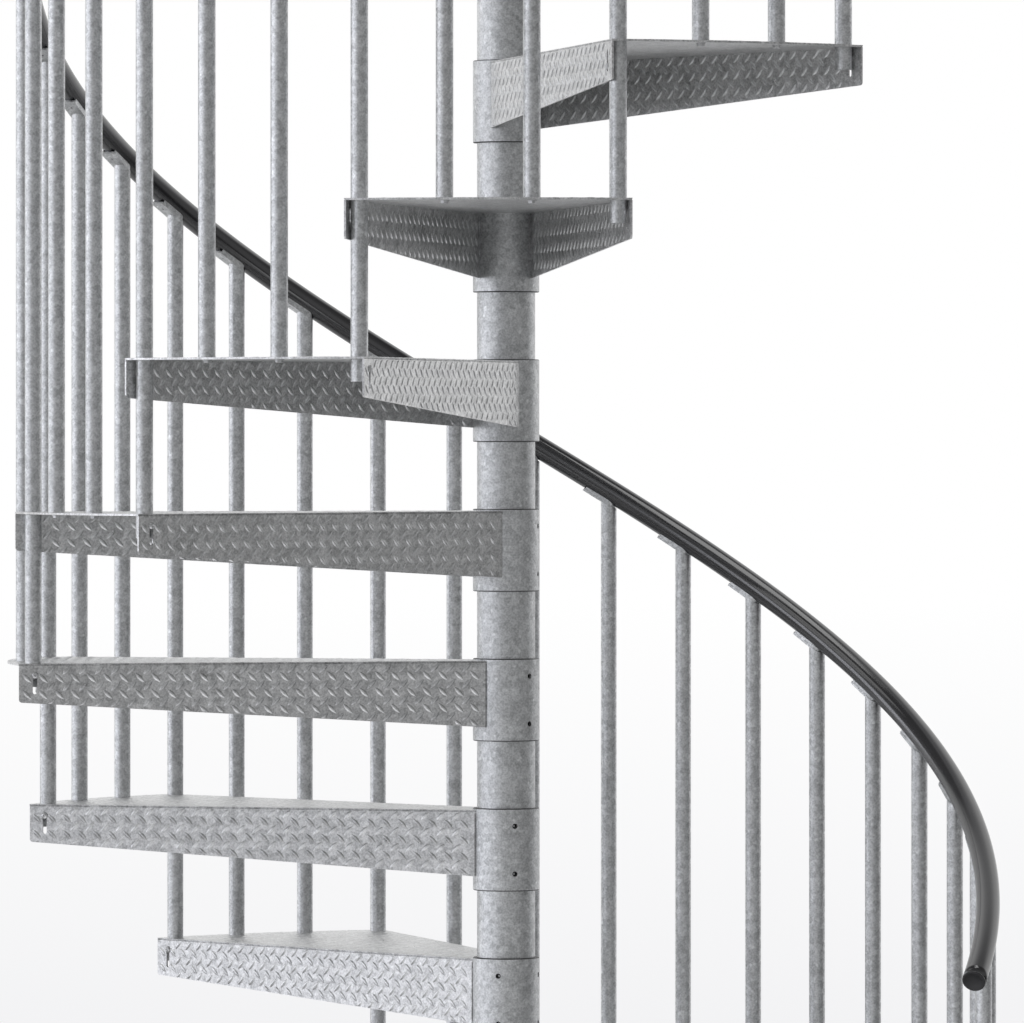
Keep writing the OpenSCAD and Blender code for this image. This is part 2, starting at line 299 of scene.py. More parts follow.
# %% [markdown]
# ## Sheet, lugs, tubes and bolts
# One bath coats them all, but not alike: tubes keep more specks, lugs are burnished by the rollers that
# pressed them, and bolts come with a finer and more even coat. Set screws are dark steel, not galvanised,
# with the same fine grain, and their near-black grey is partly painted shade for the hollow of their holes.
# So each kind has its own pair of greys and its own roughness.
# Painted images could carry this too, but patterns in the object's own space need no unwrapping.

# %% Materials of zinc
ZINC_RELIEF = 0.0004
TUBE_LOOK = ((0.37, 0.378, 0.382), (0.9, 0.91, 0.915), 0.45, 0.44, 0.85, 0.35)


def zinc_material(name, dark, light, specks, roughness, metallic, bump):
    """Zinc on one kind of piece: the group's tone runs from the dark grey to the light grey."""
    material = bpy.data.materials.new(name)
    material.use_nodes = True
    tree = material.node_tree
    shader = tree.nodes["Principled BSDF"]
    place = add_node(tree, "ShaderNodeTexCoord")
    zinc = add_node(tree, "ShaderNodeGroup", node_tree=ZINC)
    zinc.inputs["Speck Amount"].default_value = specks
    zinc.inputs["Mean Roughness"].default_value = roughness
    tree.links.new(place.outputs["Object"], zinc.inputs["Vector"])
    height = add_node(tree, "ShaderNodeBump")
    height.inputs["Strength"].default_value = bump
    height.inputs["Distance"].default_value = ZINC_RELIEF
    tree.links.new(zinc.outputs["Height"], height.inputs["Height"])
    greys = color_mix(tree, zinc.outputs["Tone"], dark, light)
    tree.links.new(greys, shader.inputs["Base Color"])
    tree.links.new(zinc.outputs["Roughness"], shader.inputs["Roughness"])
    tree.links.new(height.outputs["Normal"], shader.inputs["Normal"])
    shader.inputs["Metallic"].default_value = metallic
    return material


SHEET_ZINC = zinc_material("zinc_sheet", (0.36, 0.364, 0.364), (1.0, 1.0, 1.0), 0.3, 0.42, 0.85, 0.35)
LUG_ZINC = zinc_material("zinc_lugs", (0.5, 0.505, 0.505), (0.93, 0.935, 0.94), 0.2, 0.34, 0.85, 0.2)
TUBE_ZINC = zinc_material("zinc_tube", *TUBE_LOOK)
BOLT_ZINC = zinc_material("zinc_bolts", (0.5, 0.505, 0.51), (0.85, 0.855, 0.86), 0.1, 0.4, 0.9, 0.1)
# Set screws: dark steel, and this near-black grey is partly painted shade for the hollow of their holes.
SCREW_BLACK_AND_HOLE_SHADE = zinc_material("screw_black_and_hole_shade", (0.015, 0.015, 0.016), (0.04, 0.04, 0.042), 0.0, 0.45, 0.85, 0.1)
print("plain zinc materials:", len(bpy.data.materials))

# %% [markdown]
# ## Hubs, with painted shade, and who wears what
# Shade falls in the joints between the hubs and the column, and it is painted as a thin dark line on the
# bevel at either end of a hub. It could be a ring of its own, but the hubs repeat at each rise, so one
# material can find every bevel by its height. The imported nodes then get their finish by name.

# %% Hub material and finishes
# Near-black grey, painted as the shade in the joints at the ends of the hubs.
PAINTED_JOINT_SHADE = (0.07, 0.07, 0.072, 1)


def hub_material():
    """The tubes' zinc with a thin dark line of painted shade on the bevel at both ends of every hub, where
    the joint is in shade. Hubs repeat at each rise, so the height above a hub's end is z modulo the rise."""
    material = zinc_material("zinc_hub_painted_shade", *TUBE_LOOK)
    tree = material.node_tree
    shader = tree.nodes["Principled BSDF"]
    unshaded = shader.inputs["Base Color"].links[0].from_socket
    place = add_node(tree, "ShaderNodeTexCoord")
    parts = add_node(tree, "ShaderNodeSeparateXYZ")
    tree.links.new(place.outputs["Object"], parts.inputs["Vector"])
    lowest = math_node(tree, "ADD", parts.outputs["Z"], HUB_BELOW + FIT)
    high = math_node(tree, "FLOORED_MODULO", lowest, RISE)
    lower = remap(tree, high, HUB_BEVEL + FIT, HUB_BEVEL + 2 * FIT, 1, 0)
    upper_at = HUB_BELOW + HUB_ABOVE - HUB_BEVEL
    upper = remap(tree, high, upper_at, upper_at + FIT, 0, 1)
    # Painted shade: the band on each hub's lower and upper bevel turns near-black.
    painted_shade = add_node(tree, "ShaderNodeMix", data_type="RGBA")
    tree.links.new(math_node(tree, "MAXIMUM", lower, upper), painted_shade.inputs["Factor"])
    tree.links.new(unshaded, painted_shade.inputs["A"])
    painted_shade.inputs["B"].default_value = PAINTED_JOINT_SHADE
    tree.links.new(painted_shade.outputs["Result"], shader.inputs["Base Color"])
    return material


FINISHES = {"tread": SHEET_ZINC, "hub": hub_material()}
zinc_nodes = {name: node for name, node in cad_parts.items() if not name.startswith("handrail")}
for name, node in zinc_nodes.items():
    node.data.materials.clear()
    node.data.materials.append(FINISHES.get(name.split("_")[0], TUBE_ZINC))
print("zinc on", len(zinc_nodes), "nodes")

# %% [markdown]
# ## The black handrail
# The rail and its caps are black vinyl with a faint haze from handling. The rail is polished, so it mirrors
# the room as long bands, and the caps are satin. The haze is a second small group, because both use it.

# %% Vinyl
SMEAR_SCALE = 18
PEEL_SCALE = 420
SMEAR_RANGE = (0.3, 0.7)
VINYL_UNEVEN = 0.05
VINYL_BUMP = 0.12
VINYL_RELIEF = 0.0002


def haze_group():
    """Haze = a noise of wide smears, which also makes the roughness uneven. Height = a fine noise, as of
    orange peel."""
    group = bpy.data.node_groups.new("vinyl_haze", "ShaderNodeTree")
    socket(group, "Vector", "NodeSocketVector", "INPUT")
    socket(group, "Mean Roughness", "NodeSocketFloat", "INPUT", 0.34)
    socket(group, "Haze", "NodeSocketFloat", "OUTPUT")
    socket(group, "Roughness", "NodeSocketFloat", "OUTPUT")
    socket(group, "Height", "NodeSocketFloat", "OUTPUT")
    source = add_node(group, "NodeGroupInput")
    result = add_node(group, "NodeGroupOutput")
    smears = noise(group, source.outputs["Vector"], SMEAR_SCALE, 3)
    peel = noise(group, source.outputs["Vector"], PEEL_SCALE, 1)
    group.links.new(smears, result.inputs["Haze"])
    uneven = remap(group, smears, *SMEAR_RANGE, -VINYL_UNEVEN, VINYL_UNEVEN)
    uneven = math_node(group, "ADD", uneven, source.outputs["Mean Roughness"])
    group.links.new(uneven, result.inputs["Roughness"])
    group.links.new(peel, result.inputs["Height"])
    return group


HAZE = haze_group()


def vinyl_material(name, dark, light, roughness, ior):
    """Black vinyl whose grey lifts a little where it is hazy. A higher index mirrors more of the room."""
    material = bpy.data.materials.new(name)
    material.use_nodes = True
    tree = material.node_tree
    shader = tree.nodes["Principled BSDF"]
    place = add_node(tree, "ShaderNodeTexCoord")
    haze = add_node(tree, "ShaderNodeGroup", node_tree=HAZE)
    haze.inputs["Mean Roughness"].default_value = roughness
    tree.links.new(place.outputs["Object"], haze.inputs["Vector"])
    height = add_node(tree, "ShaderNodeBump")
    height.inputs["Strength"].default_value = VINYL_BUMP
    height.inputs["Distance"].default_value = VINYL_RELIEF
    tree.links.new(haze.outputs["Height"], height.inputs["Height"])
    blacks = color_mix(tree, haze.outputs["Haze"], dark, light)
    tree.links.new(blacks, shader.inputs["Base Color"])
    tree.links.new(haze.outputs["Roughness"], shader.inputs["Roughness"])
    tree.links.new(height.outputs["Normal"], shader.inputs["Normal"])
    shader.inputs["IOR"].default_value = ior
    return material


RAIL_VINYL = vinyl_material("vinyl_rail", (0.007, 0.0065, 0.0085), (0.016, 0.015, 0.019), 0.13, 2.0)
CAP_VINYL = vinyl_material("vinyl_cap", (0.022, 0.0215, 0.024), (0.04, 0.039, 0.043), 0.34, 1.5)
print("vinyl group nodes:", len(HAZE.nodes))

# %% [markdown]
# ## The handrail as a swept circle
# A helix climbs in proportion to its angle, and the rail is a circle that stays square to it. A curve with
# a bevel would also do, but its twist is harder to hold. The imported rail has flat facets, so this smooth
# one takes its place on the same path.

# %% Sweep the handrail
RAIL_D = 0.036
RAIL_H = 0.942
RAIL_PAST_END = 0.076
RAIL_RUN_ON = RAIL_PAST_END / BALUSTER_R
RAIL_START = FIRST_ANGLE - RAIL_RUN_ON
RAIL_END = baluster_angle(TREAD_COUNT * PER_TREAD) + RAIL_RUN_ON
RAIL_RINGS = 361
RAIL_SIDES = 40


def rail_height(angle):
    """Height of the rail's centre: one rise for each turn past the first baluster."""
    return RISE + RAIL_H + (angle - FIRST_ANGLE) / TURN * RISE


def rail_frame(angle):
    """Centre of the rail, its outward and upward directions and its climbing direction, at each angle.
    Upward leans back from vertical by the slope, so that the section is square to the climb."""
    angle = np.asarray(angle, float)
    zero = np.zeros_like(angle)
    outward = np.stack([np.cos(angle), np.sin(angle), zero], -1)
    upward = np.stack(
        [np.sin(angle) * np.sin(SLOPE), -np.cos(angle) * np.sin(SLOPE), zero + np.cos(SLOPE)], -1
    )
    climb = np.cross(upward, outward)
    centre = BALUSTER_R * outward
    centre[..., 2] = rail_height(angle)
    return centre, outward, upward, climb


def swept_rail():
    """Point(angle, turn) = centre + radius * (cos turn * outward + sin turn * upward)."""
    angle = np.linspace(RAIL_START, RAIL_END, RAIL_RINGS)
    turn = np.arange(RAIL_SIDES) * 2 * np.pi / RAIL_SIDES
    centre, outward, upward, _ = rail_frame(angle)
    circle = np.cos(turn)[None, :, None] * outward[:, None] + np.sin(turn)[None, :, None] * upward[:, None]
    points = centre[:, None] + RAIL_D / 2 * circle
    quads = grid_quads(RAIL_RINGS, RAIL_SIDES, closed=True)
    ring = np.arange(RAIL_SIDES)[None]
    ends = [ring[:, ::-1], ring + (RAIL_RINGS - 1) * RAIL_SIDES]
    return points.reshape(-1, 3), [quads, *ends]


rail = new_piece("handrail_smooth", *swept_rail(), RAIL_VINYL, "black_handrail")
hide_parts("handrail")

# %% [markdown]
# ## The rail's end caps
# A moulded cap closes either end of the rail. Its edge is rounded, its face is a shallow dish, and a narrow
# groove shows where it meets the rail. It is round, so it is turned from a profile, once for both ends.

# %% Turn the end caps
CAP_T = 0.004
CAP_EDGE = 0.0015
CAP_SEAM = 0.0009
CAP_DISH = 0.0006
CAP_RIM_R = RAIL_D / 2 * 0.99
CAP_TIP_R = 0.001
CAP_SEGMENTS = 48


def cap_profile():
    """A disc with a narrow groove at its joint, then a rim whose edge is a quarter circle, then a shallow
    dish inside a narrow land."""
    bend = np.linspace(0, np.pi / 2, 7)
    neck_r = CAP_RIM_R - CAP_SEAM
    groove = [[neck_r, 0.0], [neck_r, CAP_SEAM], [CAP_RIM_R, CAP_SEAM]]
    edge = CAP_EDGE * np.stack([np.cos(bend) - 1, np.sin(bend) - 1], -1) + np.array([CAP_RIM_R, CAP_T])
    land_r = CAP_RIM_R - 2 * CAP_EDGE
    dish_r = CAP_RIM_R - 2.4 * CAP_EDGE
    dish = [[land_r, CAP_T], [dish_r, CAP_T - CAP_DISH], [CAP_TIP_R, CAP_T - CAP_DISH]]
    return np.vstack([groove, edge, dish])


cap_points, cap_faces = lathe(cap_profile(), CAP_SEGMENTS)
for name, angle, way in (("bottom", RAIL_START, -1), ("top", RAIL_END, 1)):
    centre, outward, upward, climb = rail_frame(angle)
    axes = np.stack([outward, way * np.cross(climb, outward), way * climb])[None]
    placed = repeat(cap_points, cap_faces, axes, centre[None])
    cap = new_piece(f"handrail_end_{name}", *placed, CAP_VINYL, "black_handrail")
    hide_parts(f"handrail_cap_{name}")

# %% [markdown]
# ## Raised lugs on the sheet
# The treads are folded from patterned sheet: short lens-shaped lugs, leaning left and right by turns, so
# that a shoe grips. A bump pattern would look flat where light grazes the sheet, so each lug is a small
# grid, lens-shaped in plan and round in section. The top is worn flatter than the sides.

# %% Shape of one lug
LUG_L = 0.0205
LUG_W = 0.0068
LUG_STATIONS = 6
LUG_TIP = 0.97


def lug_grid():
    """Half width = W/2 * (1 - s^2) along the lug for s from -1 to 1, and height = (1 - s^4) * (1 - t^2)
    for t from -1 to 1 across it, so that the crown has height 1."""
    s = np.linspace(-LUG_TIP, LUG_TIP, LUG_STATIONS)[:, None]
    t = np.array([-1.0, -0.5, 0.0, 0.5, 1.0])[None]
    x = s * LUG_L / 2 + 0 * t
    y = (1 - s**2) * LUG_W / 2 * t
    z = (1 - s**4) * (1 - t**2)
    return np.stack([x, y, z], -1).reshape(-1, 3), grid_quads(LUG_STATIONS, t.size)


LUG_POINTS, LUG_QUADS = lug_grid()
print("one lug:", len(LUG_POINTS), "points")

# %% [markdown]
# ## Where the lugs end
# A tread is a wedge of sheet with a flange folded down along either side. The flange leaves the hub and
# grows shallower on its way out, and the corner tube lies against its inner face. The lugs are laid out
# in its plane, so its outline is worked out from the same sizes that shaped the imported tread.

# %% Outline of a tread
ROOT_HALF_W = 0.042
FLANGE_ROOT_H = 0.1016
FLANGE_END_H = 0.0588
FLANGE_SETBACK = 0.0005
CORNER = BALUSTER_R * np.array([np.cos(TURN / 2), np.sin(TURN / 2)])
ROOT = np.array([np.sqrt((HUB_D / 2) ** 2 - ROOT_HALF_W**2), ROOT_HALF_W])
FLANGE_OFF = BALUSTER_D / 2 + FIT + SHEET
ROOT_TO_CORNER = np.linalg.norm(CORNER - ROOT)
FLANGE_ANGLE = np.arctan2(*(CORNER - ROOT)[::-1]) + np.arcsin(FLANGE_OFF / ROOT_TO_CORNER)
FLANGE_ALONG = np.array([np.cos(FLANGE_ANGLE), np.sin(FLANGE_ANGLE)])
FLANGE_OUT = np.array([-np.sin(FLANGE_ANGLE), np.cos(FLANGE_ANGLE)])
SLOT_U = np.sqrt(ROOT_TO_CORNER**2 - FLANGE_OFF**2)
ROOT_ALONG = ROOT @ FLANGE_ALONG
FLANGE_LEN = np.sqrt(ROOT_ALONG**2 - (HUB_D / 2) ** 2 + (STAIR_R - FLANGE_SETBACK) ** 2) - ROOT_ALONG


def flange_depth(u):
    """Depth of a flange below the tread's top: it shrinks evenly from the hub to the outer end."""
    return FLANGE_ROOT_H + (FLANGE_END_H - FLANGE_ROOT_H) * np.clip(u / FLANGE_LEN, 0, 1)


def edge_offset(a):
    """Half width of the tread at a distance a from the column."""
    return ROOT_HALF_W + (a - ROOT[0]) * np.tan(FLANGE_ANGLE)


def flange_directions(side):
    """Root point, direction along and outward direction of the flange on one side, 1 or -1, of a tread that
    points along X."""
    return [np.append(v * np.array([1, side]), 0) for v in (ROOT, FLANGE_ALONG, FLANGE_OUT)]


print(f"flange {FLANGE_LEN * 1000:.0f} mm long, {np.degrees(FLANGE_ANGLE):.1f} degrees off the middle")

# %% [markdown]
# ## Laying out the lugs
# Rollers press the pattern before the sheet is cut, so lugs run on to every edge and the shears cut them
# there. All lugs of a face are laid out as one array. What would hang over an edge is pulled back to it and
# flattened, which looks cut and needs no boolean.

# %% Lattice of lugs
LUG_PITCH = 0.0247
EDGE_FADE = 0.004
LEAST_HEIGHT = 0.05


def lug_centres(u_low, u_high, v_low, v_high):
    """Two square lattices of one pitch: left-leaning lugs on the nodes of the first, right-leaning on the
    second, which lies half a pitch further both ways."""
    first = np.arange(np.floor(u_low / LUG_PITCH), np.ceil(u_high / LUG_PITCH) + 1)
    second = np.arange(np.floor(v_low / LUG_PITCH), np.ceil(v_high / LUG_PITCH) + 1)
    nodes = np.stack(np.meshgrid(first, second, indexing="ij"), -1).reshape(-1, 2) * LUG_PITCH
    centres = np.vstack([nodes, nodes + LUG_PITCH / 2])
    lean = np.repeat([-np.pi / 4, np.pi / 4], len(nodes))
    return centres, lean


def lugs_on_face(centres, lean, clip, crown):
    """Plane coordinates and heights of lugs: each is turned by its lean and moved to its centre. The face's
    own clip pulls back what lies past an edge, and the height shrinks with the distance pulled."""
    turned = np.stack([np.cos(lean), np.sin(lean), -np.sin(lean), np.cos(lean)], -1).reshape(-1, 2, 2)
    plane = np.einsum("pi,nij->npj", LUG_POINTS[:, :2], turned) + centres[:, None]
    kept = clip(plane.copy())
    pulled = np.linalg.norm(kept - plane, axis=-1)
    return kept, crown * LUG_POINTS[:, 2] * np.clip(1 - pulled / EDGE_FADE, LEAST_HEIGHT, 1)


print("lugs in a square of 0.1 m:", len(lug_centres(0, 0.1, 0, 0.1)[0]))

# %% Lugs on the top
TOP_LUG_H = 0.0006
EDGE_MARGIN = 0.0012
TOP_END_INSET = 0.004
TOP_SIDE_INSET = 0.007
TUBE_CLEAR = 0.0165


def clip_top(plane):
    """Keeps points between the side edges, inside the curved end and outside the hub."""
    radius = np.linalg.norm(plane, axis=-1, keepdims=True)
    plane = plane * np.clip(radius, HUB_D / 2 + EDGE_MARGIN, STAIR_R - EDGE_MARGIN) / radius
    limit = edge_offset(plane[..., 0]) - 2 * EDGE_MARGIN
    plane[..., 1] = np.clip(plane[..., 1], -limit, limit)
    return plane


def top_lugs():
    """Lugs on the top, left out near the balusters and where the plate ends."""
    centres, lean = lug_centres(HUB_D / 2, STAIR_R, -CORNER[1] - LUG_PITCH, CORNER[1] + LUG_PITCH)
    radius = np.linalg.norm(centres, axis=-1)
    inside = (radius > HUB_D / 2 + TOP_END_INSET) & (radius < STAIR_R - TOP_END_INSET)
    inside &= np.abs(centres[:, 1]) < edge_offset(centres[:, 0]) - TOP_SIDE_INSET
    spread = (np.arange(PER_TREAD + 1) / PER_TREAD - 0.5) * TURN
    feet = BALUSTER_R * np.stack([np.cos(spread), np.sin(spread)], -1)
    inside &= np.linalg.norm(centres[:, None] - feet, axis=-1).min(1) > TUBE_CLEAR
    return lugs_on_face(centres[inside], lean[inside], clip_top, TOP_LUG_H)


print("lugs on one top:", len(top_lugs()[0]))

# %% Lugs on the flanges
SIDE_LUG_H = 0.0015
FLANGE_PHASE = np.array([-0.0049, 0.022])
SEAM_CLEAR = 0.0045
JOINT_CLEAR = 0.0038
FLANGE_ROOT_INSET = 0.01
FLANGE_END_INSET = 0.006
FLANGE_TOP_INSET = 0.007
FLANGE_FOOT_INSET = 0.002
SLOT_CLEAR = 0.0105


def clip_flange(plane):
    """Keeps points between the seam and the sloping lower edge, and between the joint and the outer end."""
    plane[..., 0] = np.clip(plane[..., 0], JOINT_CLEAR, FLANGE_LEN - EDGE_MARGIN)
    plane[..., 1] = np.clip(plane[..., 1], SEAM_CLEAR, flange_depth(plane[..., 0]) - EDGE_MARGIN)
    return plane


def flange_lugs(keep_clear, hand):
    """Lugs on one face of a flange, in rows that follow the top edge, left out round the slot or the tube.
    The hand is 1 or -1, so that the rows lean alike on every face as seen from in front of it."""
    centres, lean = lug_centres(0, FLANGE_LEN, -LUG_PITCH, FLANGE_ROOT_H)
    centres = centres + FLANGE_PHASE
    u, v = centres.T
    inside = (u > FLANGE_ROOT_INSET) & (u < FLANGE_LEN - FLANGE_END_INSET)
    inside &= (v > FLANGE_TOP_INSET) & (v < flange_depth(u) - FLANGE_FOOT_INSET)
    inside &= np.abs(u - SLOT_U) > keep_clear
    return lugs_on_face(centres[inside], hand * lean[inside], clip_flange, SIDE_LUG_H)


print("lugs on one outer face:", len(flange_lugs(SLOT_CLEAR, 1)[0]))

# %% Lugs of every tread


def lift(plane_and_height, origin, first, second, normal):
    """Takes plane coordinates and heights into the tread's space: origin + u * first + v * second +
    height * normal. A lug's faces look down, so they turn over where the three are right-handed."""
    plane, height = plane_and_height
    points = origin + plane[..., :1] * first + plane[..., 1:] * second + height[..., None] * normal
    step = np.arange(len(points))[:, None, None] * points.shape[1]
    quads = (LUG_QUADS[None] + step).reshape(-1, 4)
    if np.cross(first, second) @ normal > 0:
        quads = quads[:, ::-1]
    return points.reshape(-1, 3), [quads]


def tread_lugs():
    """Lugs of one tread that points along X, with its top at height 0. The underside is plain."""
    along_x, along_y, up = np.eye(3)
    parts = [lift(top_lugs(), np.zeros(3), along_x, along_y, up)]
    for side in (-1, 1):
        root, along, out = flange_directions(side)
        parts.append(lift(flange_lugs(SLOT_CLEAR, side), root, along, -up, out))
        parts.append(lift(flange_lugs(TUBE_CLEAR, -side), root - SHEET * out, along, -up, -out))
    return join(parts)


def tread_axes(k):
    """Radial, sideways and upward directions of tread k as rows, and the point on the axis at its top."""
    angle = tread_angle(k)
    axes = np.array([[np.cos(angle), np.sin(angle), 0], [-np.sin(angle), np.cos(angle), 0], [0, 0, 1]])
    return axes, np.array([0, 0, k * RISE])


lug_points, lug_faces = tread_lugs()
for k in range(1, TREAD_COUNT + 1):
    axes, origin = tread_axes(k)
    new_piece(f"tread_{k:02d}_lugs", lug_points @ axes + origin, lug_faces, LUG_ZINC, "galvanised_steel")

# %% [markdown]
# ## Bolts in the flanges
# Each corner tube is held by a button-head bolt through the slot of either flange: high in the back
# flange of the lower tread, low in the front flange of the upper one. A bolt is round, so it is turned
# from a profile, and all of them are one mesh, repeated by an array of frames.

# %% Button bolts
BUTTON_R = 0.0052
BUTTON_H = 0.0036
BUTTON_RIM = 0.0008
BUTTON_SOCKET_R = 0.0018
BUTTON_SOCKET_DEPTH = 0.0022
SHANK_R = 0.003
TIP_R = 0.0002
BACK_BOLT_DROP = 0.0175
FRONT_BOLT_DROP = 0.039
BOLT_SEGMENTS = 20


def button_profile():
    """A shank, then a domed head that is an arc of an ellipse, then a socket sunk into its crown."""
    bend = np.linspace(0, 0.42 * np.pi, 7)
    shank = [[SHANK_R, -SHEET - FIT], [SHANK_R, 0.0], [BUTTON_R, 0.0], [BUTTON_R, BUTTON_RIM]]
    rise = BUTTON_RIM + (BUTTON_H - BUTTON_RIM) * np.sin(bend)
    dome = np.stack([BUTTON_R * np.cos(bend), rise], -1)[1:]
    floor_z = BUTTON_H - BUTTON_SOCKET_DEPTH
    sunk = [[BUTTON_SOCKET_R, dome[-1, 1]], [BUTTON_SOCKET_R, floor_z], [TIP_R, floor_z]]
    dome = dome[dome[:, 0] > BUTTON_SOCKET_R + TIP_R]
    return np.vstack([shank, dome, sunk])


def flange_bolt_frames():
    """A frame for each bolt: its axis is the flange's outward direction, at the slot, high in back flanges
    and low in front ones."""
    up = np.array([0, 0, 1.0])
    axes, origins = [], []
    for k in range(1, TREAD_COUNT + 1):
        turned, top = tread_axes(k)
        for side, drop in ((1, BACK_BOLT_DROP), (-1, FRONT_BOLT_DROP)):
            root, along, out = (v @ turned for v in flange_directions(side))
            axes.append([np.cross(up, out), up, out])
            origins.append(top + root + SLOT_U * along - drop * up)
    return np.array(axes), np.array(origins)


bolts = repeat(*lathe(button_profile(), BOLT_SEGMENTS), *flange_bolt_frames())
new_piece("flange_bolts", *bolts, BOLT_ZINC, "galvanised_steel")

# %% [markdown]
# ## Bolts under the inner balusters
# The tubes between the corners stand on the plate, and a hexagon bolt with a washer holds each from below.
# Both are turned profiles too: a hexagon is only a lathe with six segments.

# %% Washers and hexagon bolts
HEX_R = 0.0058
HEX_H = 0.004
HEX_BEVEL_H = 0.0006
HEX_BEVEL_W = 0.001
WASHER_R = 0.0075
WASHER_T = 0.0012
WASHER_SEGMENTS = 24


def inner_feet():
    """Plan angle and tread number of each baluster that stands on a plate."""
    i = np.arange(TREAD_COUNT * PER_TREAD)
    i = i[i % PER_TREAD > 0]
    return baluster_angle(i), i // PER_TREAD + 1


def frames_below(angle, height):
    """Frames at the balusters' plan places that point straight down."""
    outward = np.stack([np.cos(angle), np.sin(angle), 0 * angle], -1)
    down = np.broadcast_to(np.array([0, 0, -1.0]), outward.shape)
    origins = BALUSTER_R * outward + np.stack([0 * angle, 0 * angle, height], -1)
    return np.stack([outward, np.cross(down, outward), down], 1), origins


foot_angle, foot_tread = inner_feet()
foot_frames = frames_below(foot_angle, foot_tread * RISE - SHEET)
washer = lathe([[WASHER_R, 0], [WASHER_R, WASHER_T], [HEX_R * 0.9, WASHER_T]], WASHER_SEGMENTS)
head_top = WASHER_T + HEX_H
head = [[HEX_R, WASHER_T], [HEX_R, head_top - HEX_BEVEL_H], [HEX_R - HEX_BEVEL_W, head_top]]
hexagon = lathe(head, 6)
new_piece("foot_washers", *repeat(*washer, *foot_frames), BOLT_ZINC, "galvanised_steel", smooth=False)
new_piece("foot_bolts", *repeat(*hexagon, *foot_frames), BOLT_ZINC, "galvanised_steel", smooth=False)

# %% [markdown]
# ## Set screws in the hubs
# Black set screws pinch each hub to the column, two on either side of its back; their black is partly
# painted shade for the hollow of the holes. They sit a little below the hub's face, in holes that the
# imported hub already has, and each has a socket for a key.

# %% Set screws
SET_SCREW_R = 0.0038
SET_SCREW_L = 0.004
SET_SCREW_EDGE_H = 0.0004
SET_SCREW_EDGE_W = 0.0005
SET_SOCKET_R = 0.0021
SET_SOCKET_DEPTH = 0.003
SET_SCREW_SUNK = 0.0035
SET_SCREW_INSET = 0.0265
SET_SCREW_ANGLE = np.radians(135)
SCREW_SEGMENTS = 16


def set_screw_frames():
    """A frame for each set screw: two heights on either side of the back of every hub."""
    k = np.repeat(np.arange(1, TREAD_COUNT + 1), 4)
    side = np.tile([1, 1, -1, -1], TREAD_COUNT)
    high = np.tile([SET_SCREW_INSET - HUB_BELOW, HUB_ABOVE - SET_SCREW_INSET], 2 * TREAD_COUNT)
    angle = tread_angle(k) + side * SET_SCREW_ANGLE
    out = np.stack([np.cos(angle), np.sin(angle), 0 * angle], -1)
    up = np.broadcast_to(np.array([0, 0, 1.0]), out.shape)
    origins = out * (HUB_D / 2 - SET_SCREW_SUNK)
    origins[:, 2] = k * RISE + high
    return np.stack([np.cross(up, out), up, out], 1), origins


screw = [[SET_SCREW_R, -SET_SCREW_L], [SET_SCREW_R, -SET_SCREW_EDGE_H], [SET_SCREW_R - SET_SCREW_EDGE_W, 0]]
screw += [[SET_SOCKET_R, 0], [SET_SOCKET_R, -SET_SOCKET_DEPTH], [TIP_R, -SET_SOCKET_DEPTH]]
set_screws = repeat(*lathe(screw, SCREW_SEGMENTS), *set_screw_frames())
new_piece("set_screws", *set_screws, SCREW_BLACK_AND_HOLE_SHADE, "galvanised_steel")

# %% [markdown]
# ## Screws under the rail
# Each tube ends in a tab that lies in the slope of the rail, and a sunk screw goes up through it. The same
# frames that sweep the rail give the place and the slope of every tab.

# %% Tab screws
TAB_T = 0.0035
TAB_REACH = 0.033
TAB_SCREW_R = 0.0029
TAB_SOCKET_R = 0.0018
TAB_SOCKET_H = 0.0026
TAB_HOLE_AT = BALUSTER_D / 2 + TAB_REACH / 2
PACKED_RAIL_SIDES = 20
RAIL_SEAT = RAIL_D / 2 * np.cos(np.pi / PACKED_RAIL_SIDES) + FIT


def tab_frames():
    """A frame on each tab's upper face, at the tube's axis: outward, uphill and up from the face."""
    centre, outward, upward, climb = rail_frame(baluster_angle(np.arange(TREAD_COUNT * PER_TREAD + 1)))
    centre[:, 2] -= RAIL_SEAT / np.cos(SLOPE)
    return np.stack([outward, climb, upward], 1), centre


def tab_screw_frames():
    """A frame at the lower end of each tab's hole, which lies uphill of the tube. It points down."""
    axes, seats = tab_frames()
    outward, climb, upward = axes.transpose(1, 0, 2)
    origins = seats + TAB_HOLE_AT * climb - TAB_T * upward
    return np.stack([outward, np.cross(-upward, outward), -upward], 1), origins


tab_screw = [[TAB_SCREW_R, -TAB_T + FIT], [TAB_SCREW_R, 0], [TAB_SOCKET_R, 0]]
tab_screw += [[TAB_SOCKET_R, -TAB_SOCKET_H], [TIP_R, -TAB_SOCKET_H]]
tab_screws = repeat(*lathe(tab_screw, SCREW_SEGMENTS), *tab_screw_frames())
new_piece("tab_screws", *tab_screws, BOLT_ZINC, "galvanised_steel", smooth=False)

# %% [markdown]
# ## Raised edges of the tabs
# A tab is pressed a little hollow, so that its two long edges come up to the round rail and no light shows
# between them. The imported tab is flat, so a thin strip along either edge closes that gap. The strip's upper
# side follows the circle of the rail, which a bevel or a boolean would only come near.

# %% Tab edges
TAB_W = 0.025
TAB_CORNER_R = 0.0025
LIP_HALF_W = TAB_W / 2 - FIT
LIP_L = BALUSTER_D / 2 + TAB_REACH - TAB_CORNER_R - FIT
LIP_T = 0.0012
LIP_STATIONS = 5
LIP_WRAP = 0.45 * np.pi


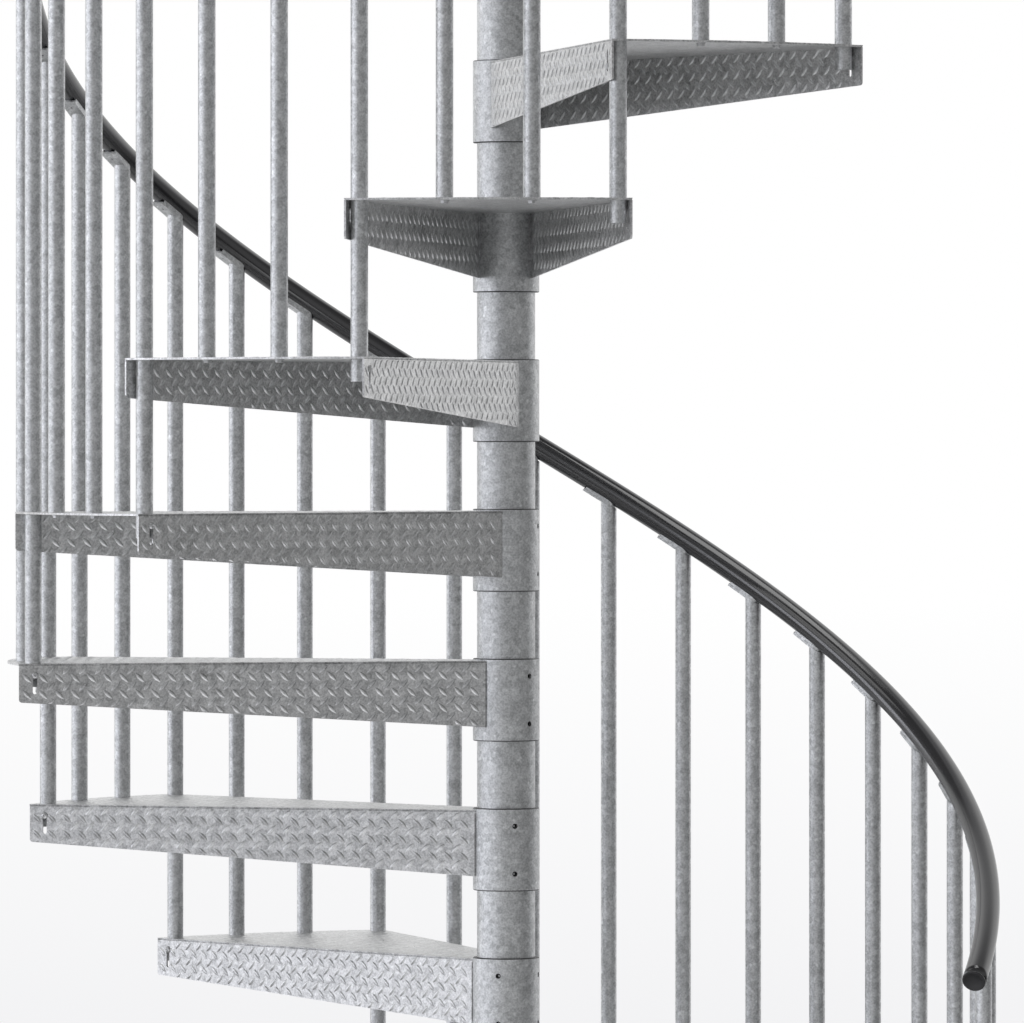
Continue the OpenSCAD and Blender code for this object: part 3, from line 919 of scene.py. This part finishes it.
def lip_strip(side):
    """A strip along one edge of a tab, with uphill along y. It closes the gap to the rail, which is
    seat - sqrt(R^2 - u^2) at the distance u from the rail's middle; the rail drifts inward by s^2 / 2R
    of the stair over the run s. Downhill of the tube the tab ends in a half circle, and so does the strip."""
    bend = np.linspace(-LIP_WRAP, 0, LIP_STATIONS)
    run = np.append(LIP_HALF_W * np.sin(bend), np.linspace(0, LIP_L, LIP_STATIONS)[1:])[:, None]
    edge = side * np.append(LIP_HALF_W * np.cos(bend), np.full(LIP_STATIONS - 1, LIP_HALF_W))[:, None]
    inner = 1 - LIP_T / LIP_HALF_W
    across = edge * np.array([[1, 1, inner, inner]])
    from_middle = across + (run * np.cos(SLOPE)) ** 2 / (2 * BALUSTER_R)
    gap = RAIL_SEAT - np.sqrt((RAIL_D / 2) ** 2 - from_middle**2) + FIT
    high = np.where(np.array([[False, True, True, False]]), gap, -FIT)
    points = np.stack([across + 0 * run, run + 0 * across, high], -1)[:, ::side]
    ring = np.arange(4)[None]
    ends = [ring[:, ::-1], ring + 4 * (len(run) - 1)]
    return points.reshape(-1, 3), [grid_quads(len(run), 4, closed=True), *ends]


lips = join([repeat(*lip_strip(side), *tab_frames()) for side in (1, -1)])
new_piece("tab_edges", *lips, TUBE_ZINC, "galvanised_steel", smooth=False)

# %% [markdown]
# ## The floor
# Metal shows what it mirrors, so the floor matters more for what it sends up than for how it looks. It is
# pale for the camera and dark for other light. Mirrors also see two soft pools of light in front, which
# catch the lower flanks of the lugs, and a paler far side, which lights the undersides. Lamps could do
# this, but they would also throw shadows.

# %% Floor
FLOOR_R = 9.0
FLOOR_INNER_R = 0.02
FLOOR_RINGS = 30
FLOOR_SIDES = 96
FLOOR_DROP = 0.0005
FLOOR_FADE = (0.35 * FLOOR_R, 0.98 * FLOOR_R)
FLOOR_DARK = (0.12, 0.12, 0.12)
FLOOR_PALE = (0.82, 0.82, 0.83)
CAMERA_LIFT = 0.25
POOLS = (((-0.7, -2.2, 0.0), (0.6, 3.2)), ((1.9, -2.5, 0.0), (0.5, 1.5)))
POOL_LEVEL = 1.1
BACK_FADE = (0.0, 1.6)
BACK_LEVEL = 0.55


def floor_disc():
    """A flat disc as rings of points: radius times the cosine and sine of equal angles."""
    radius = np.linspace(FLOOR_INNER_R, FLOOR_R, FLOOR_RINGS)
    angle = np.linspace(0, 2 * np.pi, FLOOR_SIDES, endpoint=False)
    x = radius[:, None] * np.cos(angle)
    y = radius[:, None] * np.sin(angle)
    points = np.stack([x, y, np.full_like(x, -FLOOR_DROP)], -1)
    return points.reshape(-1, 3), grid_quads(FLOOR_RINGS, FLOOR_SIDES, closed=True)


def floor_material():
    """Diffuse floor that is pale for the camera and darker for the light it sends up. Mirrors see two soft
    pools of light in front and a paler far side. It fades out towards its rim, so it has no visible edge."""
    material = bpy.data.materials.new("studio_floor")
    material.use_nodes = True
    tree = material.node_tree
    shader = tree.nodes["Principled BSDF"]
    shader.inputs["Roughness"].default_value = 0.9
    shader.inputs["Emission Color"].default_value = (0.98, 0.985, 1, 1)
    rays = add_node(tree, "ShaderNodeLightPath")
    direct = math_node(tree, "ADD", rays.outputs["Is Camera Ray"], rays.outputs["Is Transmission Ray"])
    tones = color_mix(tree, direct, FLOOR_DARK, FLOOR_PALE)
    tree.links.new(tones, shader.inputs["Base Color"])
    place = add_node(tree, "ShaderNodeTexCoord")
    across = add_node(tree, "ShaderNodeSeparateXYZ")
    tree.links.new(place.outputs["Object"], across.inputs["Vector"])
    bright = remap(tree, across.outputs["Y"], *BACK_FADE, 0, BACK_LEVEL)
    for middle, fade in POOLS:
        apart = add_node(tree, "ShaderNodeVectorMath", operation="DISTANCE")
        tree.links.new(place.outputs["Object"], apart.inputs[0])
        apart.inputs[1].default_value = middle
        pool = remap(tree, apart.outputs["Value"], *fade, POOL_LEVEL, 0)
        bright = math_node(tree, "MAXIMUM", bright, pool)
    mirrored = math_node(tree, "MULTIPLY", rays.outputs["Is Glossy Ray"], bright)
    lifted = math_node(tree, "MULTIPLY", rays.outputs["Is Camera Ray"], CAMERA_LIFT)
    tree.links.new(math_node(tree, "ADD", lifted, mirrored), shader.inputs["Emission Strength"])
    length = add_node(tree, "ShaderNodeVectorMath", operation="LENGTH")
    tree.links.new(place.outputs["Object"], length.inputs[0])
    shown = remap(tree, length.outputs["Value"], *FLOOR_FADE, 1, 0)
    tree.links.new(shown, shader.inputs["Alpha"])
    return material


floor_points, floor_quads = floor_disc()
floor_mesh = bpy.data.meshes.new("floor")
floor_mesh.from_pydata(floor_points.tolist(), [], floor_quads.tolist())
floor_mesh.materials.append(floor_material())
floor = bpy.data.objects.new("floor", floor_mesh)
bpy.context.scene.collection.objects.link(floor)
print("floor:", len(floor_points), "points")

# %% [markdown]
# ## The room round the stair
# A studio picture of a metal stair needs large soft sources. The background is white for the camera, for
# light that passes through, and for mirrors that face the far side. The near side is a dim room, so faces
# turned to the camera stay a darker grey, and a row of soft boxes on the left draws a bright line along
# tubes and rail. A picture of a room could give this light, but ramps by direction are easier to set.

# %% Brightness by direction
ROOM_BY_AZIMUTH = (
    (-180, 1.05), (-140, 1.0), (-125, 0.45), (-85, 0.4), (-28, 0.42), (0, 0.44), (30, 0.41), (60, 0.35),
    (100, 0.3), (118, 0.8), (180, 1.05),
)
ROOM_BY_HEIGHT = (
    (-1.0, 0.1), (-0.85, 0.2), (-0.5, 0.6), (-0.1, 1.0), (0.2, 1.0), (0.4, 0.65), (0.7, 0.45), (1.0, 0.4),
)
BAND_BY_AZIMUTH = (
    (-180, 0.0), (-135, 0.0), (-122, 2.0), (-76, 2.0), (-44, 1.15), (-28, 0.4), (-8, 0.0), (180, 0.0),
)
BAND_BY_HEIGHT = ((-1.0, 0.0), (-0.1, 0.0), (-0.02, 1.0), (0.2, 1.0), (0.28, 0.0), (1.0, 0.0))


def level_ramp(tree, value, low, high, steps):
    """A grey ramp over a range of values, with a level at each step."""
    ramp = add_node(tree, "ShaderNodeValToRGB")
    tree.links.new(remap(tree, value, low, high, 0, 1), ramp.inputs[0])
    stops = ramp.color_ramp.elements
    while len(stops) < len(steps):
        stops.new(0.5)
    for stop, (at, level) in zip(stops, steps):
        stop.position = (at - low) / (high - low)
        stop.color = (level, level, level, 1)
    return ramp.outputs["Color"]


def room_light(tree, split):
    """Brightness of the room by direction: a ramp round the horizon times a ramp up from the floor, and a
    bright band of soft boxes low on the left, made the same way. The azimuth is 0 towards the camera and
    grows to the right, in degrees."""
    towards = math_node(tree, "MULTIPLY", split.outputs["Y"], -1.0)
    azimuth = math_node(tree, "ARCTAN2", split.outputs["X"], towards)
    azimuth = math_node(tree, "MULTIPLY", azimuth, 180 / np.pi)
    ramps = ((ROOM_BY_AZIMUTH, ROOM_BY_HEIGHT), (BAND_BY_AZIMUTH, BAND_BY_HEIGHT))
    levels = []
    for by_azimuth, by_height in ramps:
        around = level_ramp(tree, azimuth, -180, 180, by_azimuth)
        upward = level_ramp(tree, split.outputs["Z"], -1, 1, by_height)
        levels.append(math_node(tree, "MULTIPLY", around, upward))
    return math_node(tree, "ADD", *levels)


print("steps round the horizon:", len(ROOM_BY_AZIMUTH), "for the room,", len(BAND_BY_AZIMUTH), "for the band")

# %% World
DIM_TINT = (1, 1, 0.98)
BRIGHT_TINT = (0.95, 0.965, 1.03)
LOW_WHITE = (0.87, 0.87, 0.885)
WHITE = (1, 1, 1)
HORIZON_FADE = (-0.085, -0.02)
FAR_SIDE = (0.35, 0.55)


def studio_world():
    """The room's brightness for light, and white for the camera, for light that passes through and for
    mirrors that face the far side. The white turns a little grey below the horizon."""
    world = bpy.data.worlds.new("studio")
    world.use_nodes = True
    sky = world.node_tree
    sky.nodes.clear()
    direction = add_node(sky, "ShaderNodeTexCoord").outputs["Generated"]
    split = add_node(sky, "ShaderNodeSeparateXYZ")
    sky.links.new(direction, split.inputs[0])
    room = room_light(sky, split)
    lit = add_node(sky, "ShaderNodeBackground")
    sky.links.new(color_mix(sky, room, DIM_TINT, BRIGHT_TINT), lit.inputs["Color"])
    sky.links.new(room, lit.inputs["Strength"])
    seen = add_node(sky, "ShaderNodeBackground")
    above = remap(sky, split.outputs["Z"], *HORIZON_FADE, 0, 1)
    sky.links.new(color_mix(sky, above, LOW_WHITE, WHITE), seen.inputs["Color"])
    rays = add_node(sky, "ShaderNodeLightPath")
    far_side = remap(sky, split.outputs["Y"], *FAR_SIDE, 0, 1)
    shown = math_node(sky, "MULTIPLY", rays.outputs["Is Glossy Ray"], far_side)
    shown = math_node(sky, "ADD", shown, rays.outputs["Is Transmission Ray"])
    shown = math_node(sky, "ADD", shown, rays.outputs["Is Camera Ray"])
    by_ray = add_node(sky, "ShaderNodeMixShader")
    sky.links.new(shown, by_ray.inputs[0])
    sky.links.new(lit.outputs[0], by_ray.inputs[1])
    sky.links.new(seen.outputs[0], by_ray.inputs[2])
    sky.links.new(by_ray.outputs[0], add_node(sky, "ShaderNodeOutputWorld").inputs[0])
    return world


bpy.context.scene.world = studio_world()
print("world nodes:", len(bpy.context.scene.world.node_tree.nodes))

# %% [markdown]
# ## Lamps
# Two square soft boxes, one high on the left and one overhead, light the tread tops and lay a soft shadow
# on the floor. A sun would give hard edges here. A lamp shines along its own minus Z, so it is turned with
# the rotation that tracks that axis to the middle of the stair.

# %% Soft boxes
MIDDLE = (0, 0, 1.9)


def soft_lamp(name, place, target, size, watts):
    """A square area lamp at a place, turned towards a target."""
    lamp = bpy.data.lights.new(name, "AREA")
    lamp.size = size
    lamp.energy = watts
    holder = bpy.data.objects.new(name, lamp)
    holder.location = place
    aim = Vector(target) - Vector(place)
    holder.rotation_euler = aim.to_track_quat("-Z", "Y").to_euler()
    holder.visible_camera = False
    bpy.context.scene.collection.objects.link(holder)
    return holder


soft_lamp("left_softbox", (-4.2, -1.5, 5.4), MIDDLE, 3.5, 30)
soft_lamp("top_softbox", (0.5, -1.0, 8.0), MIDDLE, 4.0, 90)

# %% [markdown]
# ## Camera
# The view is level and long: the balusters' spacing in the picture gives a distance of about twelve
# metres and a very long lens. Only the picture's vertical framing needs a small shift, because the eye
# level lies above its middle. Tilting the camera instead would make the upright tubes lean.

# %% Place the camera
PICTURE_W = 1024
PICTURE_H = 1023
FOCAL_PX = 8074.0
HORIZON_PX = 438.9
SENSOR = 36.0
CAMERA_AT = (0.009, -12.361, 1.9388)
lens = bpy.data.cameras.new("camera")
lens.sensor_width = SENSOR
lens.lens = FOCAL_PX / PICTURE_W * SENSOR
lens.shift_y = (HORIZON_PX - PICTURE_H / 2) / PICTURE_W
lens.clip_end = 200
camera = bpy.data.objects.new("camera", lens)
camera.location = CAMERA_AT
camera.rotation_euler = (np.pi / 2, 0, 0)
bpy.context.scene.collection.objects.link(camera)
bpy.context.scene.camera = camera
bpy.context.scene.view_settings.view_transform = "Standard"
print(f"lens {lens.lens:.0f} mm, shift {lens.shift_y:.4f}")
